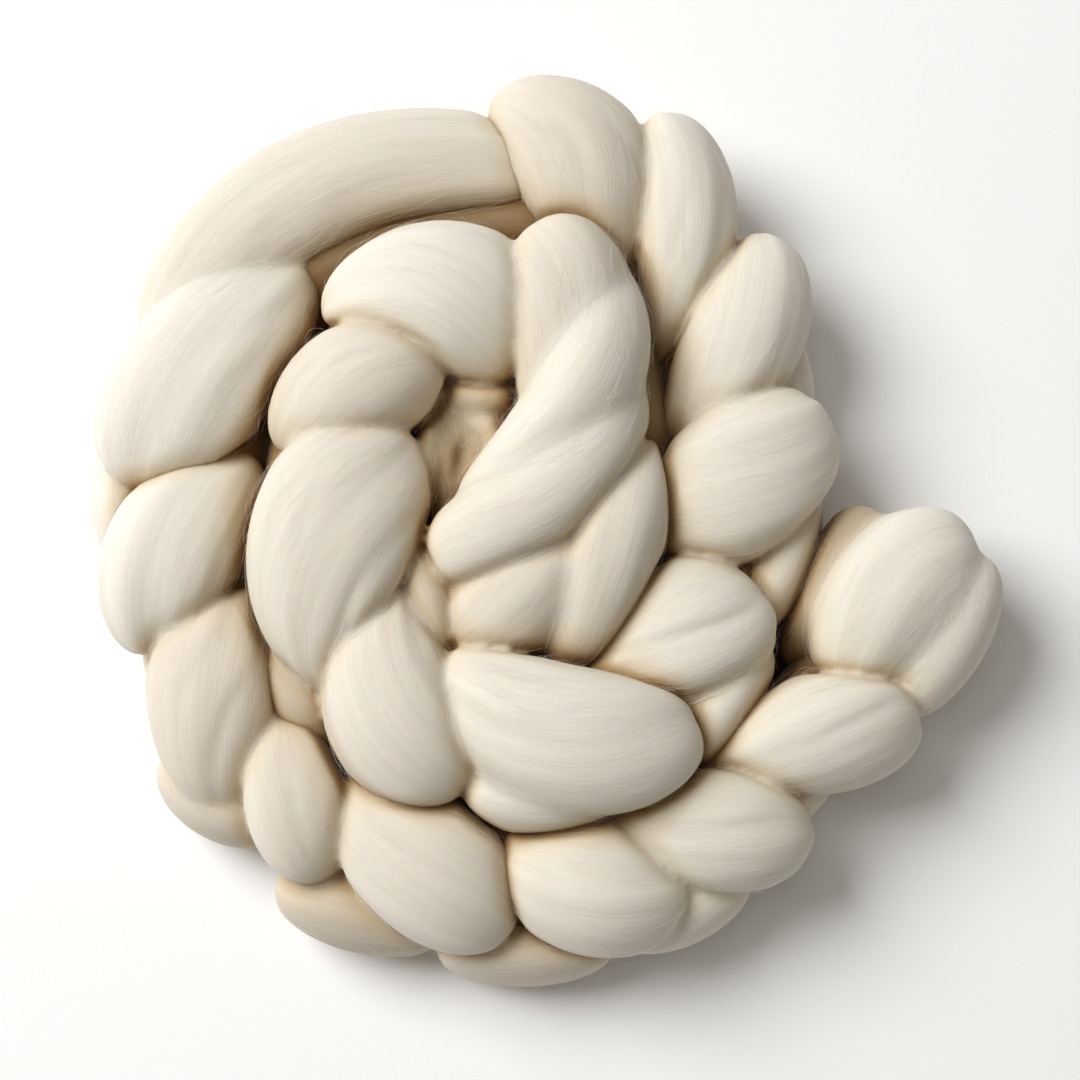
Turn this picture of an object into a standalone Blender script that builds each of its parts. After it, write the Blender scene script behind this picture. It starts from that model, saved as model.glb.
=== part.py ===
# Wool roving: one length of combed top, hand-chained and laid down as a flat spiral
# of about two turns, with the loose end of the chain reaching out to the right.
# Metres, +Z up. +X is the side of the loose end and +Y the side of the long smooth loop.
# The origin is on the surface it rests on, in the middle of its outline.

from collections import namedtuple

import bmesh
import bpy
from mathutils import Matrix, Vector

MM = 0.001

# Driving sizes
UPPER_SIDES = 14          # faces round a leg that faces up
FLANK_SIDES = 10          # faces round a leg on the flank of the chain
STRAND_STEPS = 9          # faces along one leg
RUN_SIDES = 10            # faces round the run of the chain below its legs
RUN_STEPS = 40            # faces along that run
UPPER_THICK = 46 * MM     # height of an upward leg in the outer turn
INNER_THICK = 54 * MM     # height of an upward leg in the inner turn
SIDE_THICK = 42 * MM      # height of a leg on the flank of the chain
RUN_SINK = 4 * MM         # how deep the run of the chain is pressed flat by its weight
RUN_SHOULDER = 0.75       # share of the run's size at the section next to each of its tips
RUN_EASE = 0.05           # share of a row over which the direction of the run is measured
CUT_DEPTH = 40 * MM       # depth of the block that takes off what would lie below the surface
CUT_SIZE = 600 * MM       # width of that block, wider than the wool all round
LEG_EASE = 0.15           # share of a leg over which its sections turn, so that none cross
POLE_SIZE = 0.02          # radius of the ring, of a leg's radius, that closes to a tip
WELD = 0.02 * MM          # corners closer than this become one

WOOL_COLOUR = (0.83, 0.78, 0.68, 1.0)
WOOL_ROUGHNESS = 0.95

# One row for each leg of the chain that faces up, from the loose end to the middle.
# start, middle and end are where the leg passes in plan, width is how wide it is and
# crown how high its top is. dips say how far the crown sinks at both ends, and tips how
# each end closes: 0.3 is blunt and 0.8 is pointed. flare is how much wider the leg grows
# from its start to its end. All in mm but tips and flare.
Leg = namedtuple("Leg", "name start middle end width crown dips tips flare", defaults=(0.0,))

OUTER_LEGS = [
    Leg("tail", (117, -62), (140, -20), (177, -20), 58, 60, (12, 10), (0.45, 0.36)),
    Leg("tail_return", (179, -20), (164, -47), (145, -73), 31, 48, (2, 8), (0.40, 0.45)),
    Leg("second", (59, -95), (105, -84), (151, -74), 48, 60, (14, 10), (0.60, 0.45)),
    Leg("third", (18, -112), (64, -121), (106, -120), 50, 62, (12, 14), (0.55, 0.45)),
    Leg("fourth", (-18, -126), (20, -143), (58, -144), 56, 64, (10, 14), (0.45, 0.50)),
    Leg("fifth", (-83, -103), (-45, -136), (-12, -158), 55, 64, (10, 16), (0.45, 0.45)),
    Leg("sixth", (-107, -66), (-100, -107), (-86, -140), 44, 60, (14, 14), (0.65, 0.45)),
    Leg("seventh", (-131, -20), (-133, -67), (-127, -114), 54, 60, (14, 14), (0.45, 0.50)),
    Leg("eighth", (-121, 32), (-150, -9), (-159, -51), 56, 63, (14, 14), (0.45, 0.50)),
    Leg("ninth", (-99, 112), (-144, 61), (-166, 15), 64, 66, (16, 12), (0.45, 0.45)),
    Leg("long_loop", (14, 152), (-91, 146), (-161, 78), 52, 64, (6, 8), (0.25, 0.35), 0.35),
    Leg("eleventh", (-24, 178), (16, 153), (27, 110), 60, 66, (12, 14), (0.40, 0.45)),
    Leg("twelfth", (44, 174), (58, 125), (48, 72), 46, 63, (8, 16), (0.32, 0.60)),
    Leg("thirteenth", (89, 125), (81, 80), (54, 34), 50, 62, (14, 14), (0.42, 0.50)),
    Leg("fourteenth", (43, -6), (81, 22), (110, 54), 62, 66, (12, 14), (0.45, 0.45)),
    Leg("fifteenth", (18, -53), (58, -41), (88, -24), 51, 66, (6, 14), (0.55, 0.50)),
]

INNER_LEGS = [
    Leg("bright_leg", (-40, -57), (8, -81), (57, -84), 60, 84, (6, 14), (0.36, 0.45)),
    Leg("second_inner", (-56, -8), (-62, -64), (-30, -104), 60, 78, (12, 12), (0.75, 0.36)),
    Leg("third_inner", (-60, 43), (-85, -9), (-84, -70), 67, 82, (12, 16), (0.42, 0.60)),
    Leg("fourth_inner", (-106, 30), (-74, 57), (-42, 65), 54, 79, (12, 14), (0.45, 0.45)),
    Leg("fifth_inner", (-90, 90), (-50, 96), (-23, 74), 59, 82, (14, 10), (0.50, 0.36)),
    Leg("sweeping_leg", (-8, 122), (9, 48), (-44, -22), 63, 84, (14, 12), (0.34, 0.42)),
    Leg("seventh_inner", (37, 38), (27, -6), (6, -58), 42, 76, (14, 10), (0.50, 0.50)),
    Leg("eighth_inner", (22, 10), (-10, -25), (-37, -46), 44, 77, (12, 10), (0.50, 0.45)),
]

# The other leg of each link, on the flank of the chain and lower down.
SIDE_LEGS = [
    Leg("tail_side", (132, 10), (115, -20), (100, -54), 40, 40, (2, 6), (0.40, 0.45)),
    Leg("second_side", (156, -50), (138, -66), (118, -84), 34, 36, (4, 4), (0.45, 0.45)),
    Leg("gap_side", (76, -58), (92, -63), (110, -64), 26, 30, (4, 4), (0.45, 0.45)),
    Leg("third_side", (122, -86), (97, -102), (80, -126), 34, 40, (4, 4), (0.40, 0.40)),
    Leg("fourth_side", (26, -161), (56, -149), (80, -132), 34, 42, (4, 4), (0.40, 0.40)),
    Leg("fifth_side", (-44, -166), (-8, -166), (28, -165), 33, 40, (4, 4), (0.40, 0.40)),
    Leg("sixth_side", (-107, -140), (-76, -150), (-38, -159), 36, 42, (4, 4), (0.40, 0.40)),
    Leg("seventh_side", (-152, -88), (-133, -107), (-106, -118), 32, 42, (4, 4), (0.40, 0.40)),
    Leg("eighth_side", (-155, -18), (-147, -52), (-137, -86), 34, 40, (4, 4), (0.40, 0.40)),
    Leg("ninth_side", (-170, 46), (-173, 15), (-164, -20), 31, 44, (4, 4), (0.40, 0.40)),
    Leg("tenth_side", (-132, 116), (-151, 82), (-162, 44), 36, 40, (4, 4), (0.40, 0.40)),
    Leg("loop_return", (6, 130), (-66, 122), (-126, 80), 40, 42, (2, 4), (0.40, 0.40)),
    Leg("loop_side", (-34, 156), (-84, 148), (-124, 118), 38, 38, (2, 2), (0.40, 0.40)),
    Leg("eleventh_side", (0, 168), (36, 151), (58, 124), 36, 42, (4, 4), (0.40, 0.40)),
    Leg("twelfth_side", (60, 150), (68, 116), (80, 84), 36, 42, (4, 4), (0.40, 0.40)),
    Leg("thirteenth_side", (86, 104), (94, 68), (99, 34), 35, 42, (4, 4), (0.40, 0.40)),
    Leg("fourteenth_side", (105, 24), (97, -10), (82, -36), 32, 46, (4, 4), (0.40, 0.40)),
    Leg("fifteenth_side", (82, -40), (70, -69), (57, -96), 30, 50, (4, 4), (0.45, 0.45)),
    Leg("bright_side", (-27, -104), (-2, -105), (24, -108), 28, 56, (4, 4), (0.45, 0.45)),
    Leg("second_inner_side", (-112, -46), (-101, -63), (-90, -85), 22, 48, (4, 4), (0.45, 0.45)),
    Leg("between_inner", (-54, -4), (-46, -29), (-37, -52), 24, 62, (4, 4), (0.45, 0.45)),
    Leg("tucked_end", (-38, 64), (-28, 38), (-22, 12), 40, 42, (2, 2), (0.40, 0.40)),
]

# The run of the chain below its legs, from the loose end to the middle.
Run = namedtuple("Run", "x y width height")

CHAIN_RUN = [
    Run(150, -28, 40, 40),
    Run(118, -66, 42, 42),
    Run(66, -112, 44, 44),
    Run(10, -136, 48, 46),
    Run(-55, -128, 48, 46),
    Run(-108, -96, 48, 46),
    Run(-138, -42, 48, 46),
    Run(-144, 22, 48, 46),
    Run(-126, 86, 48, 46),
    Run(-76, 128, 48, 46),
    Run(-10, 142, 48, 46),
    Run(46, 124, 48, 46),
    Run(74, 78, 48, 46),
    Run(84, 22, 48, 46),
    Run(72, -36, 46, 48),
    Run(36, -76, 46, 56),
    Run(-20, -86, 46, 60),
    Run(-66, -58, 46, 60),
    Run(-84, -4, 46, 60),
    Run(-76, 54, 46, 60),
    Run(-36, 84, 44, 60),
    Run(8, 76, 42, 60),
    Run(22, 34, 40, 58),
    Run(10, -14, 40, 54),
    Run(-16, -34, 36, 50),
]


def wool_material():
    material = bpy.data.materials.new("wool")
    material.use_nodes = True
    shader = material.node_tree.nodes["Principled BSDF"]
    shader.inputs["Base Color"].default_value = WOOL_COLOUR
    shader.inputs["Roughness"].default_value = WOOL_ROUGHNESS
    shader.inputs["Metallic"].default_value = 0.0
    return material


def section_frame(centre, ahead, half_width, half_height):
    """The matrix that carries a unit circle to one oval section across the path."""
    ahead = ahead.normalized()
    side = Vector((ahead.y, -ahead.x, 0.0)).normalized()
    up = side.cross(ahead)
    frame = Matrix.Identity(4)
    frame.col[0].xyz = side * half_width
    frame.col[1].xyz = up * half_height
    frame.col[2].xyz = ahead
    frame.col[3].xyz = centre
    return frame


def swept_body(name, frames, sides):
    """A closed body through oval sections, drawn to a tip at both ends."""
    bm = bmesh.new()
    ring = bmesh.ops.create_circle(bm, segments=sides, radius=1.0, matrix=frames[0])["verts"]
    first_ring = ring
    edges = bm.edges[:]
    for before, frame in zip(frames, frames[1:]):
        grown = bmesh.ops.extrude_edge_only(bm, edges=edges)["geom"]
        ring = [item for item in grown if isinstance(item, bmesh.types.BMVert)]
        edges = [item for item in grown if isinstance(item, bmesh.types.BMEdge)]
        bmesh.ops.transform(bm, matrix=frame @ before.inverted(), verts=ring)
    for tip, frame in ((first_ring, frames[0]), (ring, frames[-1])):
        bmesh.ops.pointmerge(bm, verts=tip, merge_co=frame.translation)
    bmesh.ops.recalc_face_normals(bm, faces=bm.faces[:])
    mesh = bpy.data.meshes.new(name)
    bm.to_mesh(mesh)
    bm.free()
    return bpy.data.objects.new(name, mesh)


def leg_frames(leg, thick):
    """Sections along a leg: a smooth bend through its three places, plump between its tips."""
    start, middle, end = (Vector((x, y)) * MM for x, y in (leg.start, leg.middle, leg.end))
    tip_in, tip_out = leg.tips
    widest = tip_in / (tip_in + tip_out)
    fullest = widest ** tip_in * (1.0 - widest) ** tip_out

    def centre(t):
        plan = start * (1 - t) * (1 - 2 * t) + middle * 4 * t * (1 - t) + end * t * (2 * t - 1)
        dip = leg.dips[0] if t < 0.5 else leg.dips[1]
        height = leg.crown * MM - thick / 2 - dip * MM * (2 * t - 1) ** 2
        return Vector((plan.x, plan.y, height))

    frames = []
    for step in range(STRAND_STEPS + 1):
        evenly = step / STRAND_STEPS
        t = evenly * evenly * (3 - 2 * evenly)
        t = min(max(t, POLE_SIZE ** 2), 1 - POLE_SIZE ** 2)
        swell = t ** tip_in * (1 - t) ** tip_out / fullest
        wide = swell * leg.width * MM * (1 + leg.flare * (t - 0.5))
        ahead = centre(min(t + LEG_EASE, 1.0)) - centre(max(t - LEG_EASE, 0.0))
        frames.append(section_frame(centre(t), ahead, wide / 2, swell * thick / 2))
    return frames


def chain_run_frames():
    """Sections along the chain's run, on a smooth curve through the rows of its table."""
    rows = [Vector((run.x, run.y, run.width, run.height)) * MM for run in CHAIN_RUN]
    rows = [2 * rows[0] - rows[1]] + rows + [2 * rows[-1] - rows[-2]]
    spans = len(rows) - 3

    def at(place):
        span = min(int(place), spans - 1)
        t = place - span
        a, b, c, d = rows[span:span + 4]
        return 0.5 * (2 * b + (c - a) * t + (2 * a - 5 * b + 4 * c - d) * t ** 2
                      + (3 * b - a - 3 * c + d) * t ** 3)

    frames = []
    for step in range(RUN_STEPS + 1):
        place = spans * step / RUN_STEPS
        row = at(place)
        ahead = at(min(place + RUN_EASE, spans)) - at(max(place - RUN_EASE, 0.0))
        from_tip = min(step, RUN_STEPS - step)
        swell = (POLE_SIZE, RUN_SHOULDER)[from_tip] if from_tip < 2 else 1.0
        width, height = row.z, row.w
        middle = Vector((row.x, row.y, height / 2 - RUN_SINK))
        ahead_in_plan = Vector((ahead.x, ahead.y, 0.0))
        frames.append(section_frame(middle, ahead_in_plan, swell * width / 2, swell * height / 2))
    return frames


def flat_cutter():
    """A block whose upper face is the surface that the wool rests on."""
    bm = bmesh.new()
    size = Matrix.Diagonal((CUT_SIZE, CUT_SIZE, CUT_DEPTH, 1.0))
    bmesh.ops.create_cube(bm, size=1.0, matrix=size)
    bmesh.ops.translate(bm, vec=(0.0, 0.0, -CUT_DEPTH / 2), verts=bm.verts[:])
    mesh = bpy.data.meshes.new("surface_cutter")
    bm.to_mesh(mesh)
    bm.free()
    return bpy.data.objects.new("surface_cutter", mesh)


def as_guide(guide, collection):
    collection.objects.link(guide)
    guide.display_type = "WIRE"
    guide.hide_render = True


def islands(bm):
    """The separate shells of a mesh, as lists of faces."""
    left = set(bm.faces)
    shells = []
    while left:
        shell = []
        front = [left.pop()]
        while front:
            face = front.pop()
            shell.append(face)
            for edge in face.edges:
                for beside in edge.link_faces:
                    if beside in left:
                        left.remove(beside)
                        front.append(beside)
        shells.append(shell)
    return shells


def keep_outer_shell(mesh):
    """Wool fills the pockets between the legs, so only the outside of the union stays."""
    bm = bmesh.new()
    bm.from_mesh(mesh)
    bmesh.ops.remove_doubles(bm, verts=bm.verts[:], dist=WELD)
    bmesh.ops.dissolve_degenerate(bm, edges=bm.edges[:], dist=WELD)
    shells = sorted(islands(bm), key=len)
    for pocket in shells[:-1]:
        bmesh.ops.delete(bm, geom=pocket, context="FACES")
    bmesh.ops.triangulate(bm, faces=bm.faces[:])
    bm.to_mesh(mesh)
    bm.free()


def centre_outline(mesh):
    """Puts the middle of the outline over the origin."""
    across = [vert.co.x for vert in mesh.vertices]
    along = [vert.co.y for vert in mesh.vertices]
    middle_x = (min(across) + max(across)) / 2
    middle_y = (min(along) + max(along)) / 2
    mesh.transform(Matrix.Translation((-middle_x, -middle_y, 0.0)))


def add_boolean(body, operation, collection=None, operand=None):
    boolean = body.modifiers.new(operation.lower(), "BOOLEAN")
    boolean.operation = operation
    boolean.solver = "EXACT"
    boolean.operand_type = "COLLECTION" if collection else "OBJECT"
    boolean.collection = collection
    boolean.object = operand


def build():
    for thing in list(bpy.data.objects):
        bpy.data.objects.remove(thing)
    scene = bpy.context.scene.collection
    legs = bpy.data.collections.new("legs")
    scene.children.link(legs)

    chain = swept_body("chain_run", chain_run_frames(), RUN_SIDES)
    as_guide(chain, scene)
    for table, thick, sides in (
        (OUTER_LEGS, UPPER_THICK, UPPER_SIDES),
        (INNER_LEGS, INNER_THICK, UPPER_SIDES),
        (SIDE_LEGS, SIDE_THICK, FLANK_SIDES),
    ):
        for leg in table:
            as_guide(swept_body(leg.name, leg_frames(leg, thick), sides), legs)
    surface = flat_cutter()
    as_guide(surface, scene)

    add_boolean(chain, "UNION", collection=legs)
    add_boolean(chain, "DIFFERENCE", operand=surface)
    drawn = chain.evaluated_get(bpy.context.evaluated_depsgraph_get())
    mesh = bpy.data.meshes.new_from_object(drawn)
    mesh.name = "roving"
    keep_outer_shell(mesh)
    centre_outline(mesh)
    mesh.materials.clear()
    mesh.materials.append(wool_material())
    mesh.shade_smooth()
    scene.objects.link(bpy.data.objects.new("roving", mesh))


build()
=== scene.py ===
# Wool roving: one length of combed top, hand-chained and coiled flat, dressed over its solid.
# Legs of the chain are bodies of wool drawn out along their bends, pressed into each other,
# creased and folded, with fine fibres lying on them and standing off them.
# +X is the side of the loose end, +Y the side of the long smooth loop, Z up.

import math
import random

import bmesh
import bpy
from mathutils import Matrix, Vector, geometry, interpolate, noise
from mathutils.bvhtree import BVHTree


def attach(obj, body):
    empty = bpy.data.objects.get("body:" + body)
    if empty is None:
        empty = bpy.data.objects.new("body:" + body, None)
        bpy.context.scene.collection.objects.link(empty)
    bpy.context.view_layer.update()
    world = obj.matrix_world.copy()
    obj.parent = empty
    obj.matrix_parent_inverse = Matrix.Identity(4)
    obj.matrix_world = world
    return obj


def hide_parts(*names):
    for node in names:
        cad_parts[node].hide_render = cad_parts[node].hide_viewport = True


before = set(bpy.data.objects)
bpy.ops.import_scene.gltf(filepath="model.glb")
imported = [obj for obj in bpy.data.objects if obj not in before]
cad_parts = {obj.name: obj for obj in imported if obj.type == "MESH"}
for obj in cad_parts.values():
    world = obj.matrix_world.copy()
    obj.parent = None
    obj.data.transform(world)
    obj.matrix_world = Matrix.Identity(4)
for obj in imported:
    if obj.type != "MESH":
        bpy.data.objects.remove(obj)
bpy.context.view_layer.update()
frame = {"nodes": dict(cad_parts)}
print("dressing", ", ".join(frame["nodes"]))

mm = 0.001
planShift = Vector((1.1 * mm, -6.0 * mm, 0.0))  # puts the plan that the tables use over the solid

# A fold is a soft trough in a leg, or a lap of wool over its neighbour.
folding = {
    "runs": 10,              # straight runs along a fold
    "spread": 1.35,          # how much wider a fold is than its table says
    "far": 1.0,              # where the search for the nearest run starts, in metres
    "ending": 2.4,           # how soon a fold reaches its depth from its ends
    "shoulder": 0.3,         # how high the wool beside it is pushed up, as a share of its depth
    "shoulderReach": 3,      # how far that goes, in widths of the fold
    "lapEdge": 2,            # how sharp the edge of a lap is
    "lapReach": 5,           # how far a lap goes, in widths of the fold
    "topSide": 2,            # how soon folds set in from the sides of a leg towards its top
}


def leg(start, middle, end, wide, crown, dips, tips, flare=0.0, twist=0.3, tone=1.0, folds=()):
    # three places in plan, its width, the height of its top, how far its two ends sink, how
    # pointed they are, how much it widens, how far its fibres wind round it, and how light its
    # wool is, partly its own tone and partly painted shade where it lies deep in a gap
    return {
        "places": [Vector((x, y)) * mm for x, y in (start, middle, end)],
        "wide": wide * mm,
        "crown": crown * mm,
        "dips": [dip * mm for dip in dips],
        "tips": tips,
        "flare": flare,
        "twist": twist,
        "tone": tone,
        "folds": [fold(*row) for row in folds],
    }


def fold(start, middle, end, depth, width, lap=0.0):
    # lap is how much higher its left side lies than its right
    places = [Vector((x, y, 0.0)) * mm for x, y in (start, middle, end)]
    runs = folding["runs"]
    return {
        "route": [bendPlace(places, step / runs) for step in range(runs + 1)],
        "depth": depth * mm,
        "width": width * folding["spread"] * mm,
        "lap": lap * mm,
    }


def bendPlace(places, t):
    # where t is on the smooth bend through three places, which are at 0, a half and 1
    first, second, third = places
    return first * (1 - t) * (1 - 2 * t) + second * 4 * t * (1 - t) + third * t * (2 * t - 1)


# Legs from the loose end to the middle, in mm. A fold is three places, a depth and a width, and
# a lap where it has one. Each leg is drawn as rings of so many corners around, a step of
# ringEvery apart, and its section is as high as thick says.
looseEnd = {
    "piece": "looseEnd", "around": 128, "ringEvery": 2.0, "thick": 40,
    "legs": {
        "tail": leg((121, -67), (143, -27), (175, -10), 57, 60, (12, 10), (0.40, 0.32),
            folds=[((137, -25), (151, -19), (173, -17), 0.6, 2.2, 0.4),
                   ((126, -38), (138, -18), (160, -6), 0.7, 3.6)]),
        "tailReturn": leg((175, -9), (163, -43), (141, -76), 35, 53, (2, 8), (0.30, 0.45)),
        "second": leg((59, -95), (105, -84), (151, -74), 48, 60, (14, 10), (0.60, 0.45), twist=0.9,
            folds=[((93, -94), (124, -78), (146, -67), 0.8, 1.5, 0.6),
                   ((100, -100), (122, -90), (146, -78), 0.5, 1.8)]),
        "third": leg((18, -112), (64, -121), (106, -120), 50, 62, (12, 14), (0.55, 0.45),
            folds=[((42, -126), (75, -120), (99, -117), 0.6, 1.8, 0.4)]),
        "fourth": leg((-18, -126), (20, -143), (58, -144), 56, 64, (10, 14), (0.45, 0.50),
            folds=[((-8, -128), (2, -140), (12, -150), 0.6, 2.6)]),
    },
}

outerTurn = {
    "piece": "outerTurn", "around": 128, "ringEvery": 2.0, "thick": 40,
    "legs": {
        "fifth": leg((-83, -103), (-45, -136), (-12, -158), 55, 64, (10, 16), (0.45, 0.45), tone=0.95,
            folds=[((-73, -112), (-60, -124), (-44, -138), 0.5, 2.6)]),
        "sixth": leg((-107, -66), (-100, -107), (-86, -140), 44, 60, (14, 14), (0.65, 0.45), tone=0.92,
            folds=[((-102, -94), (-97, -117), (-90, -135), 0.5, 1.6, 0.3)]),
        "seventh": leg(
            (-131, -20), (-133, -67), (-127, -114), 54, 60, (14, 14), (0.45, 0.50), twist=-0.6, tone=0.88,
            folds=[((-112, -50), (-128, -80), (-132, -109), 0.8, 2.0, -0.6),
                   ((-121, -40), (-140, -62), (-147, -90), 0.6, 3.0)]),
        "eighth": leg((-121, 32), (-150, -9), (-159, -51), 56, 63, (14, 14), (0.45, 0.50),
            folds=[((-126, 20), (-142, -8), (-146, -36), 0.4, 2.6, -0.3)]),
        "ninth": leg((-99, 112), (-144, 61), (-166, 15), 64, 66, (16, 12), (0.45, 0.45),
            folds=[((-96, 92), (-118, 82), (-141, 58), 0.9, 3.0),
                   ((-108, 72), (-124, 58), (-136, 38), 0.5, 2.6)]),
        "longLoop": leg(
            (14, 152), (-91, 146), (-161, 78), 52, 60, (2, 6), (0.25, 0.35), flare=0.35, tone=0.92,
            folds=[((-84, 142), (-112, 122), (-126, 100), 0.9, 4.0),
                   ((-60, 158), (-104, 150), (-136, 122), 0.6, 3.0)]),
        "eleventh": leg(
            (-24, 178), (16, 153), (27, 110), 60, 66, (12, 14), (0.40, 0.45), twist=-1.0, tone=0.90,
            folds=[((-5, 166), (10, 159), (22, 142), 1.2, 2.6, 0.5),
                   ((16, 172), (34, 158), (40, 143), 0.7, 2.4)]),
        "twelfth": leg((44, 174), (58, 125), (48, 72), 46, 63, (8, 16), (0.32, 0.60), twist=-0.5,
            folds=[((58, 140), (54, 118), (46, 96), 0.7, 1.8)]),
        "thirteenth": leg((89, 125), (81, 80), (54, 34), 50, 62, (14, 14), (0.42, 0.50),
            folds=[((92, 81), (84, 70), (78, 59), 0.4, 3.0)]),
        "fourteenth": leg((43, -6), (81, 22), (110, 54), 62, 66, (12, 14), (0.45, 0.45), twist=-1.6),
        "fifteenth": leg((13, -53), (55, -43), (87, -28), 61, 67, (6, 14), (0.50, 0.42),
            folds=[((20, -55), (64, -42), (88, -31), 1.0, 1.8, 0.8)]),
    },
}

innerTurn = {
    "piece": "innerTurn", "around": 136, "ringEvery": 2.0, "thick": 47,
    "legs": {
        "brightLeg": leg((-41, -54), (7, -86), (60, -82), 57, 84, (6, 14), (0.42, 0.34), twist=0.8,
            folds=[((-38, -62), (-22, -80), (0, -92), 3.2, 1.9, 0.8),
                   ((-37, -58), (-16, -70), (10, -80), 2.4, 1.6),
                   ((-36, -55), (-12, -62), (18, -69), 2.4, 1.8)]),
        "secondInner": leg(
            (-56, -8), (-62, -64), (-30, -104), 60, 78, (12, 12), (0.75, 0.36), tone=0.95,
            folds=[((-66, -30), (-66, -60), (-50, -88), 0.7, 2.0)]),
        "thirdInner": leg(
            (-60, 43), (-85, -9), (-84, -70), 67, 82, (12, 16), (0.42, 0.60), twist=-1.6, tone=0.94,
            folds=[((-68, -20), (-76, -36), (-80, -52), 0.7, 1.8, 0.5),
                   ((-78, 26), (-94, 0), (-96, -26), 0.6, 2.8)]),
        "fourthInner": leg((-106, 30), (-74, 57), (-42, 65), 54, 79, (12, 14), (0.45, 0.45), tone=0.90,
            folds=[((-92, 56), (-75, 65), (-52, 67), 0.7, 1.6, 0.6)]),
        "fifthInner": leg((-90, 86), (-46, 95), (-6, 74), 62, 82, (14, 26), (0.50, 0.20), twist=-0.8,
            folds=[((-74, 88), (-54, 82), (-38, 68), 0.6, 2.6)]),
        "sweepingLeg": leg((-3, 123), (10, 86), (4, 36), 54, 81, (8, 10), (0.30, 0.40), tone=0.92),
        "sweepingRidge": leg(
            (14, 118), (18, 57), (-35, 8), 41, 85.5, (30, 8), (0.55, 0.55), twist=-0.6),
        "sweepingEnd": leg(
            (34, 64), (9, 17), (-46, -15), 42, 84, (14, 4), (0.45, 0.25), twist=-0.6, tone=0.97),
        "seventhInner": leg((37, 38), (27, -6), (6, -58), 44, 76, (30, 10), (0.50, 0.45), tone=0.94,
            folds=[((33, 18), (26, -8), (18, -36), 0.8, 2.4)]),
        "eighthInner": leg((22, 4), (-8, -26), (-37, -47), 48, 75, (30, 10), (0.50, 0.42), tone=0.94,
            folds=[((4, -12), (-12, -26), (-28, -37), 0.8, 2.6)]),
    },
}

# The partner of each leg, low on the flank of the chain.
looseFlanks = {
    "piece": "looseEnd", "around": 64, "ringEvery": 2.8, "thick": 42,
    "legs": {
        # tailFlank and gapFlank have low tones as painted shade: they lie in the shadowed gap between the
        # coil and the loose end
        "tailFlank": leg((139, 8), (122, -19), (104, -53), 39, 46, (2, 26), (0.30, 0.45), tone=0.62),
        "secondFlank": leg((156, -50), (138, -66), (118, -84), 34, 36, (4, 4), (0.45, 0.45)),
        "gapFlank": leg((112, 4), (100, -30), (88, -66), 30, 14, (2, 2), (0.35, 0.35), tone=0.15),
        "thirdFlank": leg((122, -86), (97, -102), (80, -126), 34, 40, (4, 4), (0.40, 0.40)),
        "fourthFlank": leg((26, -161), (56, -149), (80, -132), 34, 47, (4, 4), (0.40, 0.40)),
    },
}

outerFlanks = {
    "piece": "outerTurn", "around": 64, "ringEvery": 2.8, "thick": 42,
    "legs": {
        "fifthFlank": leg((-44, -166), (-8, -166), (28, -165), 33, 40, (4, 4), (0.40, 0.40), tone=0.88),
        "sixthFlank": leg(
            (-107, -140), (-76, -150), (-38, -159), 36, 42, (4, 4), (0.40, 0.40), tone=0.78),
        "seventhFlank": leg(
            (-152, -88), (-133, -107), (-106, -118), 32, 42, (4, 4), (0.40, 0.40), tone=0.85),
        "eighthFlank": leg(
            (-155, -18), (-147, -52), (-137, -86), 34, 40, (4, 4), (0.40, 0.40), tone=0.85),
        "ninthFlank": leg((-170, 46), (-173, 15), (-164, -20), 31, 44, (4, 4), (0.40, 0.40)),
        "tenthFlank": leg((-132, 116), (-151, 82), (-162, 44), 36, 40, (4, 4), (0.40, 0.40)),
        "loopReturn": leg((10, 128), (-60, 120), (-118, 80), 44, 36, (-10, 6), (0.40, 0.40), tone=0.90),
        "loopFlank": leg((-34, 156), (-84, 148), (-124, 118), 38, 38, (2, 2), (0.40, 0.40)),
        "eleventhFlank": leg((0, 168), (36, 151), (58, 124), 36, 42, (4, 4), (0.40, 0.40)),
        "twelfthFlank": leg((60, 150), (68, 116), (80, 84), 36, 42, (4, 4), (0.40, 0.40)),
        "thirteenthFlank": leg((86, 104), (94, 68), (99, 34), 35, 42, (4, 4), (0.40, 0.40)),
        "fourteenthFlank": leg((105, 24), (97, -10), (82, -36), 32, 46, (4, 4), (0.40, 0.40)),
        "fifteenthFlank": leg((84, -38), (71, -68), (57, -96), 36, 56, (4, 4), (0.45, 0.45)),
    },
}

innerFlanks = {
    "piece": "innerTurn", "around": 64, "ringEvery": 2.8, "thick": 42,
    "legs": {
        "brightFlank": leg((-32, -101), (0, -109), (34, -103), 30, 69, (4, 6), (0.36, 0.45)),
        "secondInnerFlank": leg(
            (-115, -42), (-101, -64), (-87, -90), 32, 53, (4, 4), (0.45, 0.45), tone=0.75),
        "betweenInner": leg((-54, -4), (-46, -29), (-37, -52), 26, 66, (4, 4), (0.45, 0.45), tone=0.80),
    },
}

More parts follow.
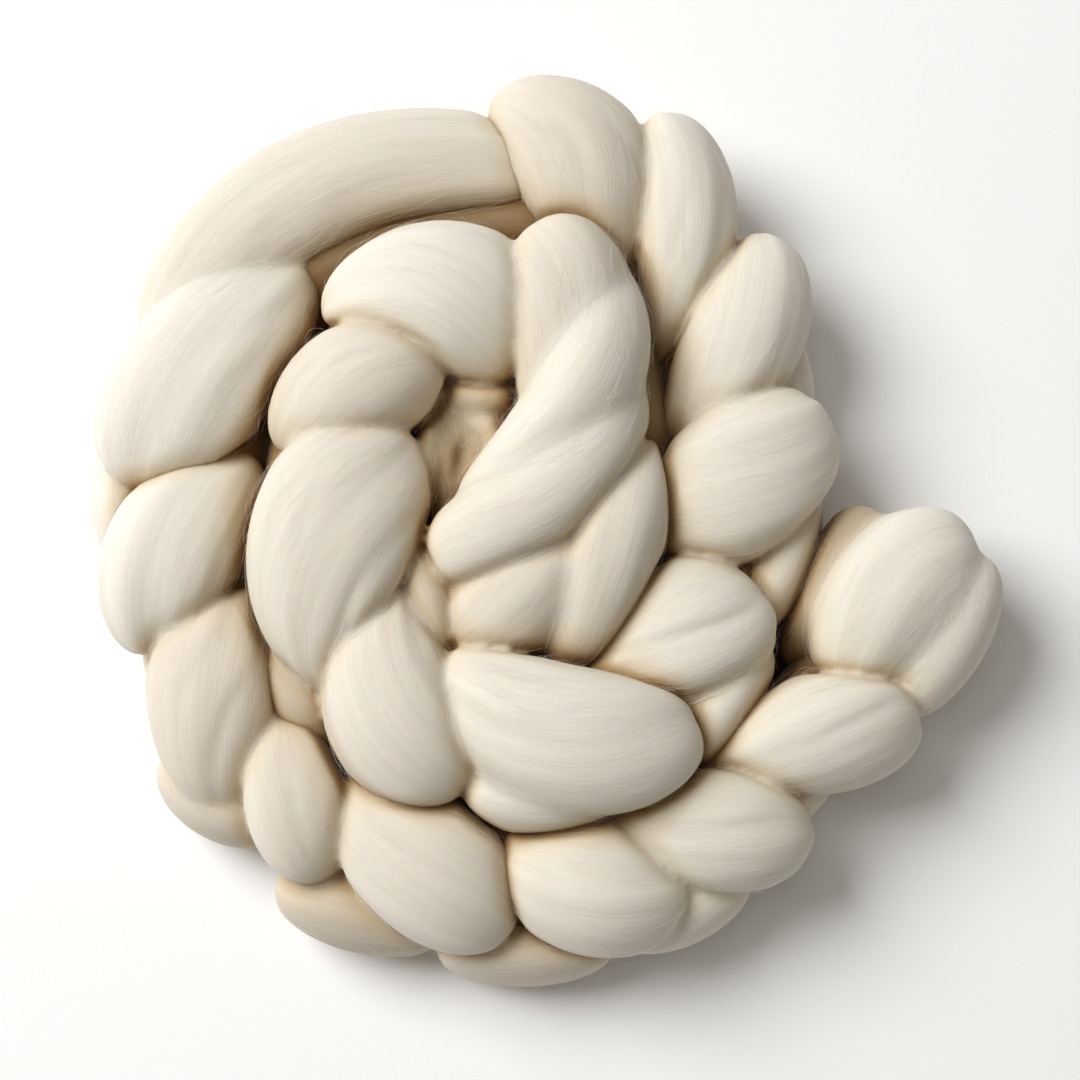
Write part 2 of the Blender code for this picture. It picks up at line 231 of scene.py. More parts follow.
# The wool that fills the middle, in loose curls.
middleCurls = {
    "piece": "innerTurn", "around": 72, "ringEvery": 1.6, "thick": 30,
    "legs": {
        # the curls' low tones are painted shade of the deep hole in the middle
        "tuckedEnd": leg((-30, 80), (-30, 38), (-36, -6), 50, 54, (0, 0), (0.30, 0.30), tone=0.54,
            folds=[((-34, 38), (-34, 28), (-36, 14), 9, 2.2),
                   ((-30, 66), (-24, 65), (-18, 64), 7, 2.4),
                   ((-36, 49), (-27, 44), (-18, 40), 2.5, 1.6)]),
        "upperCurl": leg((-40, 59), (-27, 52), (-12, 55), 15, 60, (4, 4), (0.45, 0.45), tone=0.74),
        "innerCurl": leg((-42, 44), (-21, 38), (-30, 20), 13, 59, (4, 5), (0.45, 0.45), tone=0.78),
        "sideCurl": leg((-46, 46), (-48, 28), (-46, 8), 14, 58, (4, 4), (0.45, 0.45), tone=0.62),
    },
}

# The outer turn is too long for one piece.
ownPieces = {
    "lowerTurn": [
        "fifth", "sixth", "seventh", "eighth",
        "fifthFlank", "sixthFlank", "seventhFlank", "eighthFlank",
    ],
    "sideTurn": [
        "eleventh", "twelfth", "thirteenth", "fourteenth", "fifteenth",
        "eleventhFlank", "twelfthFlank", "thirteenthFlank", "fourteenthFlank", "fifteenthFlank",
    ],
}

# Legs whose wool runs into each other, with only a soft valley between them.
runTogether = {  # how many times the valley is smoothed, and the legs
    "tailAndReturn": (14, ["tail", "tailReturn", "tailFlank"]),
    "loopAndNinth": (8, ["longLoop", "ninth"]),
    "sweepingRolls": (20, ["sweepingLeg", "sweepingRidge", "sweepingEnd"]),
    "lowerRolls": (10, ["seventhInner", "eighthInner"]),
    "brightPair": (13, ["brightLeg", "brightFlank"]),
    "curls": (5, list(middleCurls["legs"])),
}

# How the surface of every leg is drawn: lengthwise rolls and ridges of the fibres, from broad
# to fine, each with its height, its length along the leg and its width across it, in mm.
woolSurface = {
    "rolls": [(1.6, 110, 25), (0.75, 80, 11), (0.25, 70, 5.5)],
    "gatherAtTips": 1.0,     # how much stronger they are where a leg is drawn together
    "crowding": 0.45,        # how much closer its corners stand on top than beneath
    "square": 2.15,          # 2 makes a leg oval in section, and more gives it fuller shoulders
    "tipSize": 0.0004,       # where along a leg its first and last sections are
    "lookAhead": 0.15,       # share of a leg over which its direction is measured
    "dips": 0.6,             # share of the tables' dips that the ends of a leg sink by
    "fewestRings": 12,
    "tipEase": 3,            # how soon the rolls rise from a tip
    "sameSection": 5,        # decimals to which corners of one ring are at the same place
    "seedStep": 3.7,         # sets the rolls of one leg apart from the next one's
    "rollStep": 10,          # and rolls of one size apart from the finer ones
}


def smooth(share):
    # goes from 0 to 1, level at both ends
    share = min(max(share, 0.0), 1.0)
    return share * share * (3 - 2 * share)


def drawnOutBall(around, along):
    # a ball whose poles are the two tips of a leg
    bm = bmesh.new()
    bmesh.ops.create_uvsphere(bm, u_segments=around, v_segments=along, radius=1.0)
    bm.verts.layers.float_vector.new("fibre")
    bm.verts.layers.float.new("creaseShade")
    bm.verts.layers.float.new("tone")
    return bm


def placeAlong(vert):
    # from 0 at one pole of the ball to 1 at the other
    return math.acos(min(max(vert.co.z, -1.0), 1.0)) / math.pi


def sectionAxes(ahead):
    ahead = ahead.normalized()
    side = Vector((ahead.y, -ahead.x, 0.0)).normalized()
    return side, side.cross(ahead)


def rollHeight(place, seed, amount):
    # lengthwise rolls and ridges at a place given along the leg and round it
    height = 0.0
    for size, lengthwise, across in woolSurface["rolls"]:
        grain = Vector((place.x / lengthwise, place.y / across, place.z / across)) / mm
        height += size * mm * noise.noise(grain + Vector((seed, size * woolSurface["rollStep"], 0.0)))
    return height * amount


def foldDepth(spot, folds):
    # how deep the folds of a leg are at a spot in plan
    depth = 0.0
    flat = Vector((spot.x, spot.y, 0.0))
    for trough in folds:
        route = trough["route"]
        best, along, side = folding["far"], 0.0, 1.0
        for step, (a, b) in enumerate(zip(route, route[1:])):
            share = geometry.intersect_point_line(flat, a, b)[1]
            share = min(max(share, 0.0), 1.0)
            away = (flat - a.lerp(b, share)).length
            if away < best:
                best, along = away, (step + share) / (len(route) - 1)
                side = math.copysign(1.0, (b - a).cross(flat - a).z)
        ending = smooth(folding["ending"] * min(along, 1 - along))
        near = best / trough["width"]
        pushed = folding["shoulder"] * math.exp(-(near / folding["shoulderReach"]) ** 2)
        lap = trough["lap"] * ending * math.tanh(folding["lapEdge"] * side * near)
        depth += trough["depth"] * ending * (math.exp(-near ** 2) - pushed)
        depth -= lap * math.exp(-near / folding["lapReach"])
    return depth


def legPath(row, thick):
    # the line through the middle of a leg, as a function of t
    def centre(t):
        plan = bendPlace(row["places"], t)
        dip = woolSurface["dips"] * (row["dips"][0] if t < 0.5 else row["dips"][1])
        return Vector((plan.x, plan.y, row["crown"] - thick / 2 - dip * (2 * t - 1) ** 2))
    return centre


def legSection(row, thick, t):
    # a leg's section at t: its middle, its two directions, its half sizes along them, and how
    # full it is
    centre = legPath(row, thick)
    ease = woolSurface["lookAhead"]
    tipIn, tipOut = row["tips"]
    widest = tipIn / (tipIn + tipOut)
    fullest = widest ** tipIn * (1 - widest) ** tipOut
    t = min(max(t, woolSurface["tipSize"]), 1 - woolSurface["tipSize"])
    swell = t ** tipIn * (1 - t) ** tipOut / fullest
    wide = swell * row["wide"] / 2 * (1 + row["flare"] * (t - 0.5))
    side, up = sectionAxes(centre(min(t + ease, 1.0)) - centre(max(t - ease, 0.0)))
    return centre(t), side, up, wide, swell * thick / 2, swell


def power(wave, share):
    # a power that keeps the sign
    return math.copysign(abs(wave) ** share, wave)


def legLength(row):
    return (row["places"][2] - row["places"][0]).length


def legBody(row, table, seed):
    thick = table["thick"] * mm
    length = legLength(row)
    rings = woolSurface["fewestRings"] + round(length / table["ringEvery"] / mm)
    bm = drawnOutBall(table["around"], rings)
    fibre = bm.verts.layers.float_vector["fibre"]
    tone = bm.verts.layers.float["tone"]
    square = woolSurface["square"]
    sections = {}
    for vert in bm.verts:
        t = round(smooth(placeAlong(vert)), woolSurface["sameSection"])
        if t not in sections:
            sections[t] = legSection(row, thick, t)
        middle, side, up, wide, high, swell = sections[t]
        fromTop = math.atan2(vert.co.x, vert.co.y)
        turn = fromTop - woolSurface["crowding"] * math.sin(fromTop)
        across, upward = math.sin(turn), math.cos(turn)
        place = middle + side * power(across, 2 / square) * wide + up * power(upward, 2 / square) * high
        out = side * power(across, 2 - 2 / square) * high + up * power(upward, 2 - 2 / square) * wide
        lay = turn + row["twist"] * (t - 0.5)  # fibres wind round the leg
        radius = row["wide"] / 2
        vert[fibre] = (t * length + seed, math.sin(lay) * radius, math.cos(lay) * radius)
        risen = min(swell * woolSurface["tipEase"], 1.0)
        push = rollHeight(vert[fibre], seed, risen * (1 + woolSurface["gatherAtTips"] * (1 - swell)))
        if row["folds"] and upward > 0:
            push -= foldDepth(place, row["folds"]) * smooth(folding["topSide"] * upward)
        vert.co = place + out.normalized() * push + planShift
        vert[tone] = row["tone"]
    faceOutwards(bm)
    return bm


def faceOutwards(bm):
    bm.normal_update()
    bmesh.ops.recalc_face_normals(bm, faces=bm.faces[:])
    bm.normal_update()


# The run of the chain under the legs.
chainRun = {
    # its low tone is painted shade: the run shows only deep in the gaps between the legs
    "around": 72, "along": 240, "tone": 0.46, "seed": 50.0,
    "sink": 4 * mm,          # how far it would go below the floor if its underside were round
    "lookAhead": 0.05,       # share of a span over which its direction is measured
    "spanLength": 0.05,      # rough length of a span, for the pattern of its fibres
    "endEase": 12,           # how soon it reaches its full size from its ends
    "rows": [  # x, y, width and height in mm
        (150, -28, 40, 40), (118, -66, 42, 44), (66, -112, 44, 48), (10, -136, 50, 50),
        (-55, -128, 52, 50), (-108, -96, 54, 50), (-136, -42, 56, 50), (-142, 22, 56, 50),
        (-124, 86, 54, 50), (-75, 126, 54, 50), (-10, 140, 52, 50), (45, 122, 52, 50),
        (71, 78, 60, 49), (80, 22, 54, 46), (72, -36, 46, 46), (36, -76, 46, 54),
        (-22, -88, 54, 65), (-70, -60, 56, 65), (-88, -4, 56, 65), (-80, 56, 56, 65),
        (-38, 86, 50, 65), (13, 77, 56, 60), (26, 34, 54, 60), (10, -14, 44, 58), (-16, -34, 40, 54),
    ],
}


def runPlace(rows, place):
    # x, y, width and height at a place on the smooth curve through the rows
    span = min(int(place), len(rows) - 4)
    t = place - span
    a, b, c, d = rows[span:span + 4]
    return 0.5 * (2 * b + (c - a) * t + (2 * a - 5 * b + 4 * c - d) * t ** 2
                  + (3 * b - a - 3 * c + d) * t ** 3)


def runBody(run):
    seed = run["seed"]
    rows = [Vector(row) * mm for row in run["rows"]]
    rows = [2 * rows[0] - rows[1]] + rows + [2 * rows[-1] - rows[-2]]
    spans = len(rows) - 3
    bm = drawnOutBall(run["around"], run["along"])
    fibre = bm.verts.layers.float_vector["fibre"]
    tone = bm.verts.layers.float["tone"]
    for vert in bm.verts:
        t = placeAlong(vert)
        place = t * spans
        row = runPlace(rows, place)
        vert[tone] = run["tone"]
        after = runPlace(rows, min(place + run["lookAhead"], spans))
        ahead = after - runPlace(rows, max(place - run["lookAhead"], 0.0))
        side, up = sectionAxes(Vector((ahead.x, ahead.y, 0.0)))
        swell = min(1.0, (math.sin(math.pi * t) * run["endEase"]) ** 0.5)
        turn = math.atan2(vert.co.x, vert.co.y)
        radius = row.z / 2
        vert[fibre] = (place * run["spanLength"] + seed, math.sin(turn) * radius, math.cos(turn) * radius)
        push = rollHeight(vert[fibre], seed, swell)
        wide, high = swell * row.z / 2 + push, swell * row.w / 2 + push
        middle = Vector((row.x, row.y, row.w / 2 - run["sink"]))
        vert.co = middle + side * math.sin(turn) * wide + up * math.cos(turn) * high + planShift
        vert.co.z = max(vert.co.z, 0.0)
    faceOutwards(bm)
    return bm


# How bodies of wool are joined into one.
joining = {
    "grain": 1.3 * mm,       # how fine the mesh of joined wool is
    "smoothed": 4,           # how many times a finished piece is smoothed
    "smoothing": 0.5,        # how strongly, each time
    "blended": 8,            # how many times the tones and painted shade of its legs are evened out
}


def joinedMesh(name, bodies):
    joined = bmesh.new()
    for bm in bodies:
        part = bpy.data.meshes.new("part")
        bm.to_mesh(part)
        joined.from_mesh(part)
        bpy.data.meshes.remove(part)
    mesh = bpy.data.meshes.new(name)
    joined.to_mesh(mesh)
    joined.free()
    return mesh


def softlyJoined(parts, smoothed):
    # several bodies of wool as one, its fibres running as theirs do
    mesh = joinedMesh("joining", parts)
    source = bmesh.new()
    source.from_mesh(mesh)
    maker = bpy.data.objects.new("joining", mesh)
    bpy.context.scene.collection.objects.link(maker)
    remesh = maker.modifiers.new("joining", "REMESH")
    remesh.mode = "VOXEL"
    remesh.voxel_size = joining["grain"]
    bm = bmesh.new()
    bm.from_object(maker, bpy.context.evaluated_depsgraph_get())
    bpy.data.objects.remove(maker)
    keepLargest(bm)
    axes = {"use_axis_x": True, "use_axis_y": True, "use_axis_z": True}
    for _ in range(smoothed):
        bmesh.ops.smooth_vert(bm, verts=bm.verts[:], factor=joining["smoothing"], **axes)
    fibre = bm.verts.layers.float_vector.new("fibre")
    bm.verts.layers.float.new("creaseShade")
    tone = bm.verts.layers.float.new("tone")
    tree = BVHTree.FromBMesh(source)
    combed = source.verts.layers.float_vector["fibre"]
    shaded = source.verts.layers.float["tone"]
    source.faces.ensure_lookup_table()
    tonesAndShade = []
    for vert in bm.verts:
        spot, _, face, _ = tree.find_nearest(vert.co)
        corners = source.faces[face].verts
        weights = interpolate.poly_3d_calc([corner.co for corner in corners], spot)
        vert[fibre] = sum((corner[combed] * weight for corner, weight in zip(corners, weights)), Vector())
        tonesAndShade.append(corners[0][shaded])
    for vert, amount in zip(bm.verts, evenedOut(bm, tonesAndShade, joining["blended"])):
        vert[tone] = amount
    source.free()
    faceOutwards(bm)
    return bm


def keepLargest(bm):
    # drops what the joining leaves inside
    left = set(bm.verts)
    islands = []
    while left:
        island, edge = set(), [left.pop()]
        while edge:
            vert = edge.pop()
            island.add(vert)
            for near in vert.link_edges:
                other = near.other_vert(vert)
                if other in left:
                    left.remove(other)
                    edge.append(other)
        islands.append(island)
    islands.sort(key=len)
    inside = [vert for island in islands[:-1] for vert in island]
    bmesh.ops.delete(bm, geom=inside, context="VERTS")


# How legs give way where they press on each other.
pressing = {
    "plump": 0.6 * mm,       # how much fuller a leg is where nothing presses on it
    "reach": 8 * mm,         # how far from its neighbour a leg starts to give way
    "inside": 3 * mm,        # how deep in its neighbour it gives way most
    "depth": 2.0 * mm,
    "level": 0.8,            # how little it gives way where both surfaces lie level
    "evened": 2,             # how many times that is evened out over a leg
    "floor": 0.3 * mm,       # how low the legs come
}


def boxOf(bm, spare):
    low = [min(vert.co[axis] for vert in bm.verts) - spare for axis in range(3)]
    high = [max(vert.co[axis] for vert in bm.verts) + spare for axis in range(3)]
    return low, high


def holds(box, spot):
    low, high = box
    return all(low[axis] < spot[axis] < high[axis] for axis in range(3))


def overlap(one, other):
    return all(one[0][axis] < other[1][axis] and other[0][axis] < one[1][axis] for axis in range(3))


def distances(bodies, reach):
    # how far each corner is from the nearest other body, negative inside it, and how much
    # the two surfaces face the same way
    trees = {name: BVHTree.FromBMesh(bm) for name, bm in bodies.items()}
    boxes = {name: boxOf(bm, reach) for name, bm in bodies.items()}
    away = {}
    for name, bm in bodies.items():
        beside = [other for other in bodies if other != name and overlap(boxes[name], boxes[other])]
        away[name] = []
        for vert in bm.verts:
            nearest, alike = reach, 0.0
            for other in beside:
                if not holds(boxes[other], vert.co):
                    continue
                spot, normal, _, gap = trees[other].find_nearest(vert.co, reach)
                if spot is not None:
                    gap = -gap if (vert.co - spot).dot(normal) < 0 else gap
                    if gap < nearest:
                        nearest, alike = gap, max(vert.normal.dot(normal), 0.0)
            away[name].append((nearest, alike))
    return away


def evenedOut(bm, values, times):
    # the values of the corners, each drawn towards those beside it
    bm.verts.index_update()
    beside = [[edge.other_vert(vert).index for edge in vert.link_edges] for vert in bm.verts]
    for _ in range(times):
        values = [(value + sum(values[near] for near in row) / len(row)) / 2
                  for value, row in zip(values, beside)]
    return values


def pressTogether(bodies):
    # each leg gives way near its neighbours, so that creases are soft and deep
    reach, inside = pressing["reach"], pressing["inside"]
    away = distances(bodies, reach)
    for name, bm in bodies.items():
        give = []
        for gap, alike in away[name]:
            level = 1 - pressing["level"] * alike ** 2
            give.append(pressing["depth"] * level * smooth((reach - gap) / (reach + inside)))
        give = evenedOut(bm, give, pressing["evened"])
        for vert, amount in zip(bm.verts, give):
            vert.co += vert.normal * (pressing["plump"] - amount)
            vert.co.z = max(vert.co.z, pressing["floor"])
        bm.normal_update()


# How the wool that stands round a place is found, for the painted shade of the creases: a warm, dark tint
# where little light gets in.
paintedCreaseShade = {
    "directions": 30,        # looked along from each corner
    "reach": 45 * mm,
    "start": 0.8 * mm,       # how far off the wool the look starts
    "grazing": 0.1,          # directions flatter than this are left out
    "evened": 4,
}


def evenDirections(number):
    # directions spread evenly over a ball
    turn = math.pi * (3 - math.sqrt(5))
    for step in range(number):
        z = 1 - 2 * (step + 0.5) / number
        flat = math.sqrt(1 - z * z)
        yield Vector((math.cos(turn * step) * flat, math.sin(turn * step) * flat, z))


def findCreaseShade(bodies):
    # how much wool stands round each corner, 0 in the open and 1 deep in a crease, for the painted shade
    joined = bmesh.new()
    joined.from_mesh(joinedMesh("all", bodies.values()))
    tree = BVHTree.FromBMesh(joined)
    joined.free()
    directions = list(evenDirections(paintedCreaseShade["directions"]))
    for bm in bodies.values():
        creaseShade = bm.verts.layers.float["creaseShade"]
        shares = []
        for vert in bm.verts:
            start = vert.co + vert.normal * paintedCreaseShade["start"]
            seen, shut = 0.0, 0.0
            for direction in directions:
                facing = direction.dot(vert.normal)
                if facing > paintedCreaseShade["grazing"]:
                    hit = tree.ray_cast(start, direction, paintedCreaseShade["reach"])[3]
                    if hit is not None:
                        shut += facing * (1 - hit / paintedCreaseShade["reach"])
                    seen += facing
            shares.append(shut / seen)
        for vert, share in zip(bm.verts, evenedOut(bm, shares, paintedCreaseShade["evened"])):
            vert[creaseShade] = share


# Wool is painted warmer and darker where more of it stands round a place: painted shade in creases and
# gaps.
combedWool = {
    "light": (0.815, 0.775, 0.705, 1.0),
    "deep": (0.670, 0.617, 0.520, 1.0),
    "lightShare": 0.50,                    # the least of the light colour in the mix
    "streaks": [(8, 70), (14, 210), (45, 1100)],  # per metre, along and across the fibres
    "streakPattern": {"Scale": 1.0, "Detail": 4.0, "Roughness": 0.6},
    "streakSum": (1.15, 1.85),             # where the added streaks give deep and light
    "bump": {"Strength": 0.45, "Distance": 0.4 * mm},
    # painted shade: the wool's colour is tinted warmer and darker deep in creases and gaps
    "paintedCreaseShade": [  # the tint by how much wool stands round a place
        (0.00, (1.00, 1.00, 1.00, 1.0)), (0.10, (0.97, 0.945, 0.89, 1.0)), (0.30, (0.89, 0.82, 0.69, 1.0)),
        (0.60, (0.58, 0.41, 0.22, 1.0)), (0.85, (0.32, 0.18, 0.06, 1.0)),
    ],
    "tonesAndShade": [  # the tint by the tone of a leg: its own colour, and painted shade on legs low in gaps and in the middle
        (0.00, (0.14, 0.09, 0.04, 1.0)), (0.30, (0.34, 0.25, 0.15, 1.0)), (0.60, (0.66, 0.58, 0.48, 1.0)),
        (0.80, (0.83, 0.775, 0.71, 1.0)), (1.00, (1.00, 1.00, 1.00, 1.0)),
    ],
    "finish": {
        "Roughness": 0.9,
        "Sheen Weight": 0.12,
        "Sheen Roughness": 0.5,
        "Specular IOR Level": 0.12,
        "Subsurface Weight": 0.5,          # how much of the light goes into the wool
        "Subsurface Radius": (1.0, 0.7, 0.4),
        "Subsurface Scale": 8 * mm,
    },
}

mixShare, mixFirst, mixSecond, mixResult = 0, 6, 7, 2  # the colour sockets of a Mix node


def link(tree, source, output, target, entry):
    tree.links.new(source.outputs[output], target.inputs[entry])


def setInputs(node, values):
    for socket, value in values.items():
        node.inputs[socket].default_value = value


def finished(name, finish):
    # a new material, its nodes and its shader
    material = bpy.data.materials.new(name)
    material.use_nodes = True
    tree = material.node_tree
    shader = tree.nodes["Principled BSDF"]
    setInputs(shader, finish)
    return material, tree, shader


def attributeNode(tree, name):
    node = tree.nodes.new("ShaderNodeAttribute")
    node.attribute_name = name
    return node


def added(tree, one, oneOutput, other, otherOutput):
    total = tree.nodes.new("ShaderNodeMath")
    total.operation = "ADD"
    link(tree, one, oneOutput, total, 0)
    link(tree, other, otherOutput, total, 1)
    return total


def blended(tree, first, second, share, shareOutput):
    # a colour between two, by a share from 0 to 1
    mixed = tree.nodes.new("ShaderNodeMix")
    mixed.data_type = "RGBA"
    mixed.inputs[mixFirst].default_value = first
    mixed.inputs[mixSecond].default_value = second
    link(tree, share, shareOutput, mixed, mixShare)
    return mixed


def tinted(tree, colour, share, tints):
    # the colour times a tint that follows a share from 0 to 1
    ramp = tree.nodes.new("ShaderNodeValToRGB")
    stops = ramp.color_ramp.elements
    while len(stops) < len(tints):
        stops.new(0.5)
    for stop, (place, tint) in zip(stops, tints):
        stop.position = place
        stop.color = tint
    link(tree, share, "Fac", ramp, "Fac")
    mixed = tree.nodes.new("ShaderNodeMix")
    mixed.data_type = "RGBA"
    mixed.blend_type = "MULTIPLY"
    mixed.inputs[mixShare].default_value = 1.0
    link(tree, colour, mixResult, mixed, mixFirst)
    link(tree, ramp, "Color", mixed, mixSecond)
    return mixed


def woolMaterial():
    material, tree, shader = finished("combedWool", combedWool["finish"])
    fibre = attributeNode(tree, "fibre")
    creaseShade = attributeNode(tree, "creaseShade")
    tone = attributeNode(tree, "tone")
    streaks = []
    for lengthwise, across in combedWool["streaks"]:
        mapping = tree.nodes.new("ShaderNodeMapping")
        mapping.inputs["Scale"].default_value = (lengthwise, across, across)
        pattern = tree.nodes.new("ShaderNodeTexNoise")
        setInputs(pattern, combedWool["streakPattern"])
        link(tree, fibre, "Vector", mapping, "Vector")
        link(tree, mapping, "Vector", pattern, "Vector")
        streaks.append(pattern)
    fine = added(tree, streaks[1], "Fac", streaks[2], "Fac")
    both = added(tree, streaks[0], "Fac", fine, 0)

    shares = tree.nodes.new("ShaderNodeMapRange")
    low, high = combedWool["streakSum"]
    setInputs(shares, {"From Min": low, "From Max": high, "To Min": 0.0, "To Max": 1.0})
    link(tree, both, 0, shares, "Value")
    lighten = tree.nodes.new("ShaderNodeMapRange")
    setInputs(lighten, {"To Min": combedWool["lightShare"], "To Max": 1.0})
    link(tree, shares, "Result", lighten, "Value")
    shade = blended(tree, combedWool["deep"], combedWool["light"], lighten, "Result")
    # painted shade: the streaked colour is darkened by how much wool stands round each corner
    creaseShaded = tinted(tree, shade, creaseShade, combedWool["paintedCreaseShade"])
    # the tone tint: the wool's own tone, and painted shade on the legs deep in gaps, on the run and on the
    # middle curls
    tonedAndShaded = tinted(tree, creaseShaded, tone, combedWool["tonesAndShade"])
    link(tree, tonedAndShaded, mixResult, shader, "Base Color")

    bump = tree.nodes.new("ShaderNodeBump")
    setInputs(bump, combedWool["bump"])
    link(tree, fine, 0, bump, "Height")
    link(tree, bump, "Normal", shader, "Normal")
    return material


# Hairs that lie on the wool, fly away from it and stand off it as fuzz, each kind with its number,
# its share of a leg's length, its lift and size in mm, and its steps.
looseFibres = {
    "bright": (0.93, 0.90, 0.84, 1.0),
    "finish": {"Roughness": 0.7, "Specular IOR Level": 0.3},
    "patternScale": 160.0,
    "seed": 7,
    "surface": {
        "number": 500, "share": (0.18, 0.45), "lift": (0.05, 0.25), "size": (0.03, 0.05), "steps": 7,
    },
    "flyaway": {
        "number": 1500, "share": (0.08, 0.30), "lift": (1.0, 4.0), "size": (0.02, 0.035), "steps": 9,
    },
    "fuzz": {
        "number": 4200, "share": (0.04, 0.13), "lift": (0.6, 2.4), "size": (0.018, 0.03), "steps": 4,
    },
    "along": (0.03, 0.97),   # the part of a leg that they grow on
    "round": 1.7,            # how far from its top, in radians
    "drift": 0.10,           # how much they stray from the combing
    "curl": 0.07,            # how far a fibre waves round its leg
    "waves": 7.0,            # how often it does at most
    "freeShare": 0.6,        # share of them with one end loose
    "sunk": 0.03 * mm,       # how deep they start in the wool
    "tipSize": 0.35,         # how thick a tip is beside the middle
}


def fibreMaterial():
    material, tree, shader = finished("looseFibre", looseFibres["finish"])
    places = tree.nodes.new("ShaderNodeTexCoord")
    pattern = tree.nodes.new("ShaderNodeTexNoise")
    pattern.inputs["Scale"].default_value = looseFibres["patternScale"]
    link(tree, places, "Object", pattern, "Vector")
    shade = blended(tree, combedWool["light"], looseFibres["bright"], pattern, "Fac")
    link(tree, shade, mixResult, shader, "Base Color")
    return material


def layFibre(chance, tree, row, thick, kind):
    # places along one fibre that follows the combing of a leg
    first, last = looseFibres["along"]
    share = chance.uniform(*kind["share"])
    start = chance.uniform(first, last - share)
    turn = chance.uniform(-looseFibres["round"], looseFibres["round"])
    drift = chance.gauss(0.0, looseFibres["drift"])
    lift = chance.uniform(*kind["lift"]) * mm
    free = chance.random() < looseFibres["freeShare"]
    wave = chance.uniform(-looseFibres["waves"], looseFibres["waves"])
    places = []
    for step in range(kind["steps"] + 1):
        along = step / kind["steps"]
        t = start + share * along
        centre, side, up, wide, high, _ = legSection(row, thick, t)
        angle = turn + drift * along - row["twist"] * share * along
        angle += looseFibres["curl"] * math.sin(wave * along)
        base = centre + side * math.sin(angle) * wide + up * math.cos(angle) * high + planShift
        spot, normal, _, _ = tree.find_nearest(base)
        stand = math.sin(math.pi * along)
        if kind is not looseFibres["surface"]:
            stand = along ** 2 if free else stand
        place = spot + normal * (lift * stand - looseFibres["sunk"])
        place.z = max(place.z, pressing["floor"])
        places.append(place)
    return places


def fibrePiece(name, fibres, material):
    curve = bpy.data.curves.new(name, "CURVE")
    curve.dimensions = "3D"
    curve.bevel_depth = 1.0
    curve.bevel_resolution = 0
    curve.use_fill_caps = True
    tip = looseFibres["tipSize"]
    for places, size in fibres:
        spline = curve.splines.new("POLY")
        steps = len(places) - 1
        spline.points.add(steps)
        for step, (point, place) in enumerate(zip(spline.points, places)):
            point.co = (*place, 1.0)
            point.radius = size * mm * (tip + (1 - tip) * math.sin(math.pi * step / steps))
    maker = bpy.data.objects.new(name + "Curve", curve)
    bpy.context.scene.collection.objects.link(maker)
    drawn = maker.evaluated_get(bpy.context.evaluated_depsgraph_get())
    mesh = bpy.data.meshes.new_from_object(drawn)
    mesh.name = name
    bpy.data.objects.remove(maker)
    dressPiece(name, mesh, material)


def dressPiece(name, mesh, material):
    mesh.materials.clear()
    mesh.materials.append(material)
    mesh.shade_smooth()
    piece = bpy.data.objects.new(name, mesh)
    bpy.context.scene.collection.objects.link(piece)
    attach(piece, "root")
    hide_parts("roving")
    print(name, "has", sum(len(face.vertices) - 2 for face in mesh.polygons), "triangles")


wool = woolMaterial()
loose = fibreMaterial()
tables = [looseEnd, looseFlanks, outerTurn, outerFlanks, innerTurn, innerFlanks, middleCurls]
bodies = {}
homes = {name: piece for piece, names in ownPieces.items() for name in names}
for table in tables:
    for name, row in table["legs"].items():
        bodies[name] = legBody(row, table, len(bodies) * woolSurface["seedStep"])
        homes.setdefault(name, table["piece"])
for joined, (smoothed, names) in runTogether.items():
    bodies[joined] = softlyJoined([bodies.pop(name) for name in names], smoothed)
    homes[joined] = homes[names[0]]
print("bodies of wool drawn:", len(bodies))
pressTogether(bodies)
print("bodies of wool pressed together")

pieces = {}
for piece in ("looseEnd", "lowerTurn", "outerTurn", "sideTurn", "innerTurn"):
    own = [bm for name, bm in bodies.items() if homes[name] == piece]
    pieces[piece] = softlyJoined(own, joining["smoothed"])
pieces["chainRun"] = runBody(chainRun)
findCreaseShade(pieces)
print("hollows found")
for name, bm in pieces.items():
    dressPiece(name, joinedMesh(name, [bm]), wool)

chance = random.Random(looseFibres["seed"])
rows = []
areas = []
for table in tables:
    for name, row in table["legs"].items():
        rows.append((homes[name], row, table["thick"] * mm))
        areas.append(legLength(row) * row["wide"])
trees = {name: BVHTree.FromBMesh(bm) for name, bm in pieces.items()}
for kindName in ("surface", "flyaway", "fuzz"):
    kind = looseFibres[kindName]
    fibres = []
    for name, row, thick in chance.choices(rows, areas, k=kind["number"]):
        size = chance.uniform(*kind["size"])
        fibres.append((layFibre(chance, trees[name], row, thick, kind), size))
    fibrePiece(kindName + "Fibres", fibres, loose)


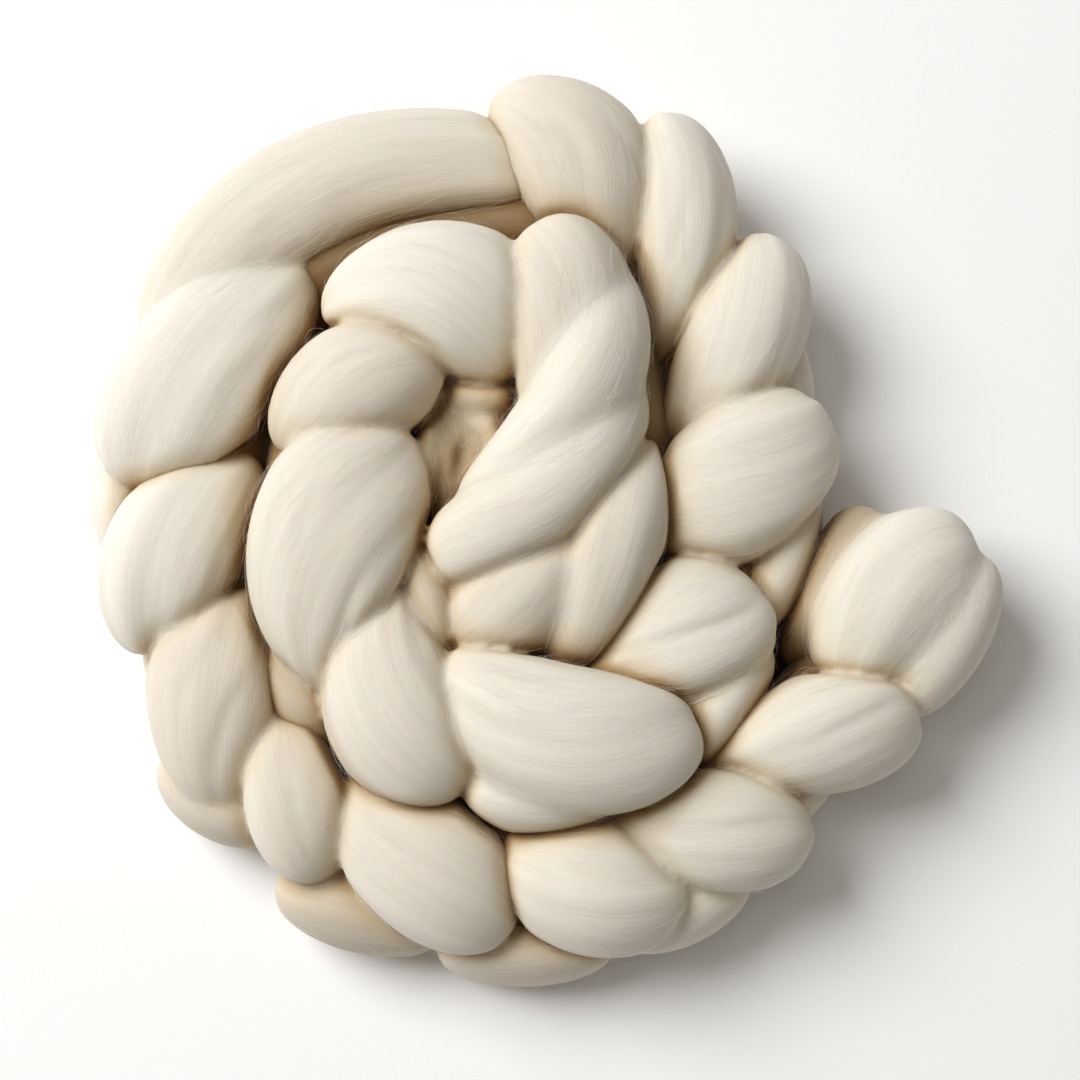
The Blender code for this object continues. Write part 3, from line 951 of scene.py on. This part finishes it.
studio = {
    "floorSize": 6.0,
    "floor": {"Base Color": (0.97, 0.97, 0.97, 1.0), "Roughness": 0.9},
    "world": {"Color": (1.0, 0.93, 0.82, 1.0), "Strength": 0.19},
    "lights": {  # place, size, power and colour
        "keyLight": ((-2.21, 1.17, 2.59), 2.6, 146.0, (0.995, 1.0, 1.0)),
        "topLight": ((-0.40, 0.40, 3.20), 1.6, 8.0, (1.0, 1.0, 1.0)),
    },
}

view = {
    "target": Vector((-0.9 * mm, -8.9 * mm, 35 * mm)),
    "elevation": math.radians(80),
    "distance": 0.95,
    "sensor": 36.0,
    "frameWidth": 442.8 * mm,  # what the picture spans at the target
}


def makeStudio():
    bm = bmesh.new()
    bmesh.ops.create_grid(bm, x_segments=1, y_segments=1, size=studio["floorSize"] / 2)
    mesh = bpy.data.meshes.new("studioFloor")
    bm.to_mesh(mesh)
    bm.free()
    mesh.materials.append(finished("paleFloor", studio["floor"])[0])
    floor = bpy.data.objects.new("studioFloor", mesh)
    bpy.context.scene.collection.objects.link(floor)

    world = bpy.data.worlds.new("studio")
    bpy.context.scene.world = world
    world.use_nodes = True
    setInputs(world.node_tree.nodes["Background"], studio["world"])
    for name, (place, size, power, colour) in studio["lights"].items():
        lamp = bpy.data.lights.new(name, "AREA")
        lamp.shape = "DISK"
        lamp.size = size
        lamp.energy = power
        lamp.color = colour
        light = bpy.data.objects.new(name, lamp)
        light.location = place
        light.rotation_euler = (-Vector(place)).to_track_quat("-Z", "Y").to_euler()
        bpy.context.scene.collection.objects.link(light)


def makeCamera():
    lens = bpy.data.cameras.new("photoCamera")
    lens.sensor_width = view["sensor"]
    lens.lens = view["sensor"] * view["distance"] / view["frameWidth"]
    camera = bpy.data.objects.new("photoCamera", lens)
    back = Vector((0.0, -math.cos(view["elevation"]), math.sin(view["elevation"])))
    camera.location = view["target"] + back * view["distance"]
    camera.rotation_euler = (-back).to_track_quat("-Z", "Y").to_euler()
    bpy.context.scene.collection.objects.link(camera)
    bpy.context.scene.camera = camera


makeStudio()
makeCamera()
bpy.context.scene.view_settings.view_transform = "Standard"
